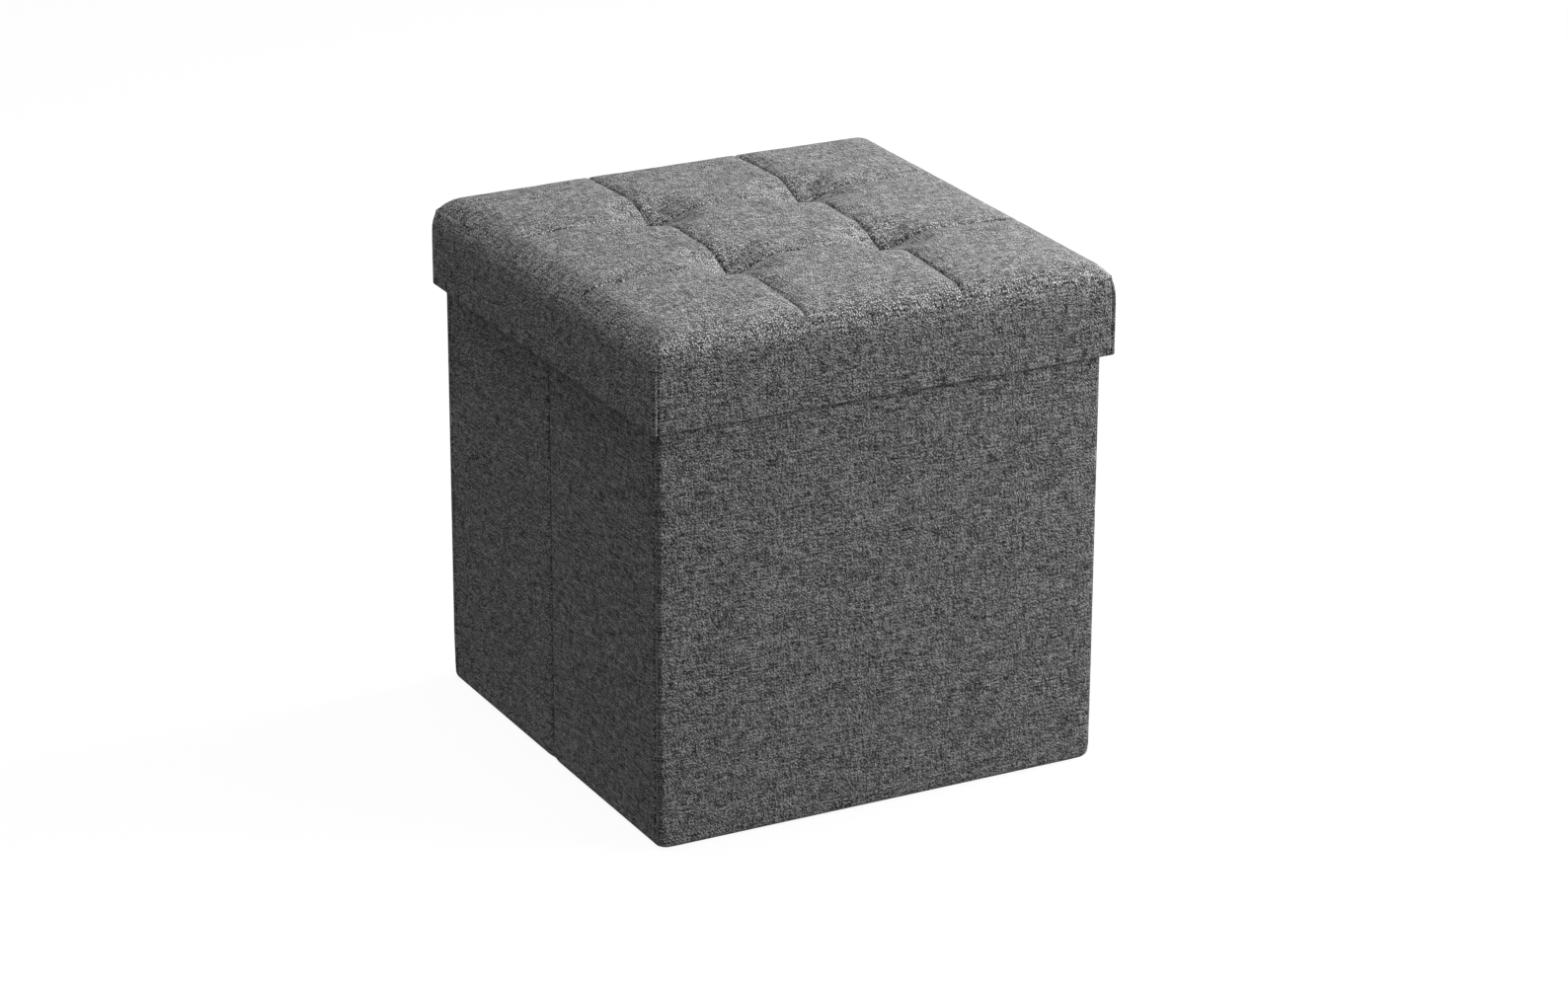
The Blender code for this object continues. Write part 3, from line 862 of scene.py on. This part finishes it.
def cushion_rise(x, y):
    """How far the cushion stands above its border, without its sewn lines."""
    to_x, to_y = np.abs(np.abs(x) - TUFT), np.abs(np.abs(y) - TUFT)
    rise = (SHOULDER_HIGH - LID_SEAM) * edge_rise(LID_HALF - np.abs(x)) * edge_rise(LID_HALF - np.abs(y))
    dome = DOME * (1 - (x / LID_HALF) ** 4) * (1 - (y / LID_HALF) ** 4)
    away = (to_x**TUFT_FORM + to_y**TUFT_FORM) ** (1 / TUFT_FORM)
    tuft = TUFT_DEPTH * (1 - np.sin(np.pi / 2 * np.clip(away / TUFT_REACH, 0, 1)))
    share = 1 - np.clip(np.minimum(to_x, to_y) / SEAM_REACH, 0, 1)
    seam = SEAM_DEPTH * (1 - np.sqrt(np.maximum(0.0, 1 - share**2)))
    return rise + dome - np.minimum(tuft + seam, TUFT_DEPTH) * border_fade(x, y, 36 * MM)


def sewn_lines(x, y):
    """The narrow grooves where the cushion's panels are sewn together."""
    to_x, to_y = np.abs(np.abs(x) - TUFT), np.abs(np.abs(y) - TUFT)
    line = np.maximum(np.exp(-((to_x / GROOVE_WIDTH) ** 2)), np.exp(-((to_y / GROOVE_WIDTH) ** 2)))
    return GROOVE * line * border_fade(x, y, 9 * MM)


SIM_LINES = 97  # points along each side of the simulated cloth
SIM_FRAMES = 20
SIM_START = 0.9  # the cloth starts this full, and swells
SLACK = 0.006  # the cloth is cut this much larger than the form it starts from
MOST_SWELL = 2 * MM


def swelling():
    """How the cushion's cloth moves when it is blown up by its foam, held at its border, seams and tufts.

    Gives a function from places on the cushion to the three parts of that move.
    """
    at = np.linspace(-LID_HALF, LID_HALF, SIM_LINES)
    x, y = (part.ravel() for part in np.meshgrid(at, at, indexing="ij"))
    start = np.stack([x, y, LID_SEAM + SIM_START * cushion_rise(x, y)], axis=1)
    steps = range(SIM_LINES - 1)
    cells = [
        (i * SIM_LINES + j, (i + 1) * SIM_LINES + j, (i + 1) * SIM_LINES + j + 1, i * SIM_LINES + j + 1)
        for i in steps for j in steps
    ]
    mesh = bpy.data.meshes.new("cushion_trial")
    mesh.from_pydata(start.tolist(), [], cells)
    trial = bpy.data.objects.new("cushion_trial", mesh)
    bpy.context.scene.collection.objects.link(trial)
    to_x, to_y = np.abs(np.abs(x) - TUFT), np.abs(np.abs(y) - TUFT)
    tuft = np.exp(-(to_x**2 + to_y**2) / (5 * MM) ** 2)
    seam = np.maximum(np.exp(-((to_x / (3 * MM)) ** 2)), np.exp(-((to_y / (3 * MM)) ** 2)))
    border = LID_HALF - np.maximum(np.abs(x), np.abs(y)) < 1e-6
    held = np.where(border, 1.0, np.maximum(tuft, 0.3 * seam))
    group = trial.vertex_groups.new(name="held")
    for number in np.nonzero(held > 0.01)[0]:
        group.add([int(number)], float(held[number]), "REPLACE")
    cloth = trial.modifiers.new("cloth", "CLOTH")
    settings = cloth.settings
    settings.quality = 5
    settings.mass = 0.1
    settings.tension_stiffness = settings.compression_stiffness = 15
    settings.shear_stiffness = 5
    settings.bending_stiffness = 0.3
    settings.vertex_group_mass = "held"
    settings.shrink_min = -SLACK
    settings.use_pressure = True
    settings.uniform_pressure_force = 4
    settings.effector_weights.gravity = 0.0
    cloth.collision_settings.use_collision = False
    cloth.point_cache.frame_start, cloth.point_cache.frame_end = 1, SIM_FRAMES
    for number in range(1, SIM_FRAMES + 1):
        bpy.context.scene.frame_set(number)
    shown = trial.evaluated_get(bpy.context.evaluated_depsgraph_get())
    end = np.array([tuple(v.co) for v in shown.data.vertices])
    bpy.data.objects.remove(trial, do_unlink=True)
    bpy.context.scene.frame_set(1)
    move = np.clip(end - start, -MOST_SWELL, MOST_SWELL).reshape(SIM_LINES, SIM_LINES, 3)

    def moved(x, y):
        width = 2 * LID_HALF
        a, b = ((np.clip(p, -LID_HALF, LID_HALF) + LID_HALF) / width * (SIM_LINES - 1) for p in (x, y))
        i, j = (np.minimum(p.astype(int), SIM_LINES - 2) for p in (a, b))
        s, t = (a - i)[:, None], (b - j)[:, None]
        near = move[i, j] * (1 - t) + move[i, j + 1] * t
        far = move[i + 1, j] * (1 - t) + move[i + 1, j + 1] * t
        return near * (1 - s) + far * s

    return moved


def lid_lines():
    """Grid lines across the lid, closer together at the tufts and at the rim."""
    near = (0.0, 0.4 * MM, 0.9 * MM, 1.6 * MM, 2.6 * MM, 4.2 * MM, 6.5 * MM)
    edge = (0.25 * MM, 0.6 * MM, 1.0 * MM, 1.4 * MM, 1.9 * MM, 2.6 * MM, LID_CORNER, 3.8 * MM, CORNER_LINE_AT,
            4.6 * MM, 5.2 * MM, 6.2 * MM, 7.6 * MM, 9.0 * MM, 11 * MM, 13.5 * MM, 18 * MM, 23.4 * MM)
    lines = graded(-LID_HALF, LID_HALF, 3.2 * MM, (-TUFT, TUFT), near)
    middle = lines[np.abs(lines) < LID_HALF - 26 * MM]
    rim = LID_HALF - np.array(sorted((0.0, *edge)))
    return np.unique(np.concatenate([middle, rim, -rim]))


def squared(points, inset, radius):
    """Points of the lid's sharp square, brought in by an inset, with its upright corners rounded."""
    half = LID_HALF - inset
    scale = half / LID_HALF
    for axis in (0, 1):
        points[:, axis] *= scale
    round_corners(points, half, radius)


def lid_upholstery():
    lines = lid_lines()
    levels = LID_SEAM - np.array([0.0, 0.3, 0.7, 1.3, 2.4, 4.0]) * MM
    zs = np.unique(np.concatenate([
        LID_LOW + SKIRT_EDGE * np.array([0.0, 0.2, 0.45, 0.75, 1.0]),
        np.linspace(LID_LOW + 6 * MM, SHOULDER_LOW - 3 * MM, 6),
        np.linspace(SHOULDER_LOW, LID_SEAM - 6 * MM, 7),
        levels,
    ]))
    lip = LID_HALF - MOUTH

    def keep(face, x, y):
        return not (face == "bottom" and max(abs(x), abs(y)) < LID_HALF - lip - LID_TURN_IN + 0.5 * MM)

    grid = box_grid(lines, lines, zs, keep)
    sharp = grid.points
    x, y, z = sharp.T
    reach = np.maximum(np.abs(x), np.abs(y))
    away = LID_HALF - reach
    top, bottom = z > LID_SEAM - 1e-7, z < LID_LOW + 1e-7

    # the way in from the skirt's face, and the height, of the outer form
    bend = away - (lip - MOUTH_EDGE)
    angle = np.clip(bend / MOUTH_EDGE, 0, np.pi / 2)
    beyond = np.maximum(0.0, bend - MOUTH_EDGE * np.pi / 2)
    fold_in = np.where(bend > 0, lip - MOUTH_EDGE + MOUTH_EDGE * np.sin(angle), away)
    fold_up = LID_LOW + np.where(bend > 0, MOUTH_EDGE * (1 - np.cos(angle)) + beyond, 0.0)
    crisp = 0.2 + np.exp(-(LID_HALF - np.minimum(np.abs(x), np.abs(y))) / (22 * MM))
    piping = -PIPE * crisp * np.exp(-(((LID_SEAM - z - 0.6 * MM) / (0.6 * MM)) ** 2))
    inset = np.where(bottom, fold_in, piping)
    height = np.where(bottom, fold_up, z)
    edge_a, edge_b = SKIRT_EDGE - inset, SKIRT_EDGE - (height - LID_LOW)
    rolled = ~top & (edge_a > 0) & (edge_b > 0)
    length = np.where(rolled, np.hypot(edge_a, edge_b), 1.0)
    share = np.where(rolled, np.maximum(edge_a, edge_b) / length, 1.0)
    inset = np.where(rolled, SKIRT_EDGE - edge_a * share, inset)
    height = np.where(rolled, LID_LOW + SKIRT_EDGE - edge_b * share, height)

    outer = sharp.copy()
    stretch = np.where(top, 1.0, LID_HALF / np.maximum(reach, 1e-9))
    outer[:, 0] *= stretch
    outer[:, 1] *= stretch
    inset = np.where(top, 0.0, inset)
    soften = (LID_TOP_CORNER - LID_CORNER) * smooth((height - FOAM_LOW) / (LID_SEAM - FOAM_LOW)) ** 2
    squared(outer, inset, np.maximum(LID_CORNER + np.where(bottom, 0.0, soften) - inset, 1.0 * MM))
    brought = np.where(top, lean(LID_SEAM), np.where(bottom, 0.0, lean(z)))
    for axis, other in ((0, 1), (1, 0)):
        inward = np.clip((LID_HALF - np.abs(sharp[:, axis])) / SHOULDER, 0, 1)
        outer[:, axis] -= np.sign(sharp[:, axis]) * brought * corner_hold(sharp[:, other]) * (1 - inward)
    from_corner = LID_HALF - np.abs(x)
    line = np.exp(-(((from_corner - CORNER_LINE_AT) / (0.8 * MM)) ** 2))
    welt = np.exp(-(((from_corner - 1.7 * MM) / (0.9 * MM)) ** 2))
    on_face = ~top & ~bottom & (np.abs(y) > LID_HALF - 1e-7)
    outer[:, 1] -= np.where(on_face, np.sign(y) * (CORNER_LINE * line - CORNER_WELT * welt), 0.0)
    dip = 0.8 * MM * crisp * np.exp(-(((away - 1.0 * MM) / (0.6 * MM)) ** 2))
    full = SIM_START
    rise = full * cushion_rise(x, y) - sewn_lines(x, y)
    outer[:, 2] = np.where(top, LID_SEAM + rise - dip, height)
    swell = swelling()(x, y) * border_fade(x, y, 50 * MM)[:, None]
    outer += np.where(top[:, None], swell, 0.0)

    inner = sharp.copy()
    deep = np.where(bottom, np.clip(away, CLOTH, lip - 1.0 * MM), CLOTH)
    lifted = np.maximum(0.0, away - (lip - 1.0 * MM))
    high = np.where(bottom, LID_LOW + CLOTH + lifted, np.clip(z, LID_LOW + CLOTH, FOAM_LOW))
    inner[:, 0] *= stretch
    inner[:, 1] *= stretch
    squared(inner, np.where(top, CLOTH, deep), LID_CORNER - CLOTH)
    inner[:, 2] = np.where(top, FOAM_LOW, high)

    made = shell("lid_upholstery", grid, outer, inner, LINEN)
    dress(made, "lid", ["lid_cover", "lid_foam"])


def lid_tray():
    """The lid's lining: over the board's underside and down the inside of the rim."""
    half, low, high = MOUTH - 0.05 * MM, LID_LOW + 16.5 * MM, LID_LINING_TOP - 0.1 * MM
    arc = np.array([0.5, 1.2, 2.0, 3.0]) * MM
    xs = graded(-half, half, 10 * MM, (-half, half), arc)
    zs = np.concatenate([np.linspace(low, high - 3 * MM, 4), high - arc[1::-1], [high]])
    zs = np.unique(zs)
    grid = box_grid(xs, xs, zs, lambda face, x, y: face != "bottom")
    forms = []
    for deep in (0.0, THIN):
        form = grid.points.copy()
        form[:, :2] = np.clip(form[:, :2], deep - half, half - deep)
        form[:, 2] = np.minimum(form[:, 2], high - deep)
        for axis in (0, 1):
            for way in (-1, 1):
                round_edge(form, axis, way * (half - deep), way, 2, high - deep, 1, 2.0 * MM - deep)
        for way in (-1, 1):
            for other in (-1, 1):
                round_edge(form, 0, way * (half - deep), way, 1, other * (half - deep), other, 3 * MM - deep)
        if deep:
            form[:, 2] -= np.maximum(0.0, waves(form[:, :2], 0.12 * MM, 31)) * (form[:, 2] > high - 1 * MM)
        forms.append(form)
    made = shell("lid_tray_lining", grid, *forms, LINING)
    dress(made, "lid", ["lid_lining"])


# The pieces that keep their shape from the frame


def repaint():
    for name, node in frame["nodes"].items():
        if name.endswith("_board"):
            paint = BOARD
        elif name.startswith("lid_rim"):
            paint = RIM_BOARD
        elif name.startswith("tuft_tie"):
            paint = THREAD
        else:
            continue
        for slot in node.material_slots:
            slot.material = paint


# Stage


AZIMUTH, ELEVATION, ROLL_TURN = (math.radians(angle) for angle in (-27.94, 21.12, 0.25))
DISTANCE, LENS = 3.735, 112.6
AIM = Vector((0.015, 0.0, 0.182))
WORLD_LEVEL, WORLD_UP, WORLD_RIGHT = 0.15, 0.2, 0.14
FLOOR_HALF = 12.0


def camera():
    level = math.cos(ELEVATION)
    away = Vector((math.sin(AZIMUTH) * level, -math.cos(AZIMUTH) * level, math.sin(ELEVATION)))
    data = bpy.data.cameras.new("camera")
    data.sensor_width = 36.0
    data.lens = LENS
    made = bpy.data.objects.new("camera", data)
    bpy.context.scene.collection.objects.link(made)
    made.location = AIM + away * DISTANCE
    turn = (-away).to_track_quat("-Z", "Y").to_matrix() @ Matrix.Rotation(ROLL_TURN, 3, "Z")
    made.rotation_euler = turn.to_euler()
    bpy.context.scene.camera = made


def lamp(name, at, aim, size, power):
    data = bpy.data.lights.new(name, "AREA")
    data.shape = "DISK"
    data.size = size
    data.energy = power
    made = bpy.data.objects.new(name, data)
    bpy.context.scene.collection.objects.link(made)
    made.location = at
    made.rotation_euler = (Vector(aim) - Vector(at)).to_track_quat("-Z", "Y").to_euler()


def world():
    """Pale light, brighter from above and from the right, and white where the camera sees it."""
    made = bpy.data.worlds.new("studio")
    made.use_nodes = True
    nodes, links = made.node_tree.nodes, made.node_tree.links
    parts = nodes.new("ShaderNodeSeparateXYZ")
    links.new(nodes.new("ShaderNodeTexCoord").outputs["Generated"], parts.inputs[0])

    def step(operation, a, b):
        node = nodes.new("ShaderNodeMath")
        node.operation = operation
        for socket, value in zip(node.inputs, (a, b)):
            if isinstance(value, bpy.types.NodeSocket):
                links.new(value, socket)
            else:
                socket.default_value = value
        return node.outputs[0]

    up = step("MAXIMUM", parts.outputs[2], 0.0)
    right = step("MAXIMUM", parts.outputs[0], 0.0)
    slopes = step("ADD", step("MULTIPLY", up, WORLD_UP), step("MULTIPLY", right, WORLD_RIGHT))
    glow = step("ADD", WORLD_LEVEL, slopes)
    seen = nodes.new("ShaderNodeLightPath").outputs["Is Camera Ray"]
    level = step("MAXIMUM", glow, seen)
    links.new(level, nodes["Background"].inputs["Strength"])
    nodes["Background"].inputs["Color"].default_value = (1.0, 1.0, 1.0, 1.0)
    bpy.context.scene.world = made


def floor():
    mesh = bpy.data.meshes.new("floor")
    corners = [(x * FLOOR_HALF, y * FLOOR_HALF, 0) for x, y in ((-1, -1), (1, -1), (1, 1), (-1, 1))]
    mesh.from_pydata(corners, [], [(0, 1, 2, 3)])
    made = bpy.data.objects.new("floor", mesh)
    bpy.context.scene.collection.objects.link(made)
    paint = bpy.data.materials.new("studio_floor")
    paint.use_nodes = True
    shader = paint.node_tree.nodes["Principled BSDF"]
    shader.inputs["Base Color"].default_value = (0.1, 0.1, 0.1, 1.0)
    shader.inputs["Roughness"].default_value = 0.9
    shader.inputs["Specular IOR Level"].default_value = 0.0
    shader.inputs["Emission Color"].default_value = (1.0, 1.0, 1.0, 1.0)
    shader.inputs["Emission Strength"].default_value = 0.93
    mesh.materials.append(paint)
    made.visible_diffuse = False
    made.visible_glossy = False
    made.visible_shadow = False


def stage():
    camera()
    world()
    floor()
    middle = (0.0, 0.0, 0.2)
    lamp("low_right", (1.9, 0.1, 1.16), middle, 0.5, 45)
    lamp("overhead", (-0.35, -0.1, 2.6), middle, 1.0, 20.5)
    lamp("front_fill", (0.9, -1.0, 0.8), middle, 0.6, 9.5)
    bpy.context.scene.view_settings.view_transform = "Standard"
    bpy.context.scene.view_settings.look = "None"


# Build


stage()
full_wall("front", False)
full_wall("rear", True)
full_hem("front", False)
full_hem("rear", True)
for side_name, side_way in SIDE_SIGNS:
    for end_name, end_way in (("rear", 1), ("front", -1)):
        side_wrap(side_name, side_way, end_name, end_way)
        side_hem(side_name, side_way, end_name, end_way)
        joined = not (side_name == "right" and end_name == "front")
        corner_ribbon(
            f"{side_name}_{end_name}_corner_ribbon", f"{end_name}_wall" if joined else None,
            f"{side_name}_{end_name}", side_way, end_way,
        )
linings()
base_wrap()
base_panel()
lid_upholstery()
lid_tray()
repaint()
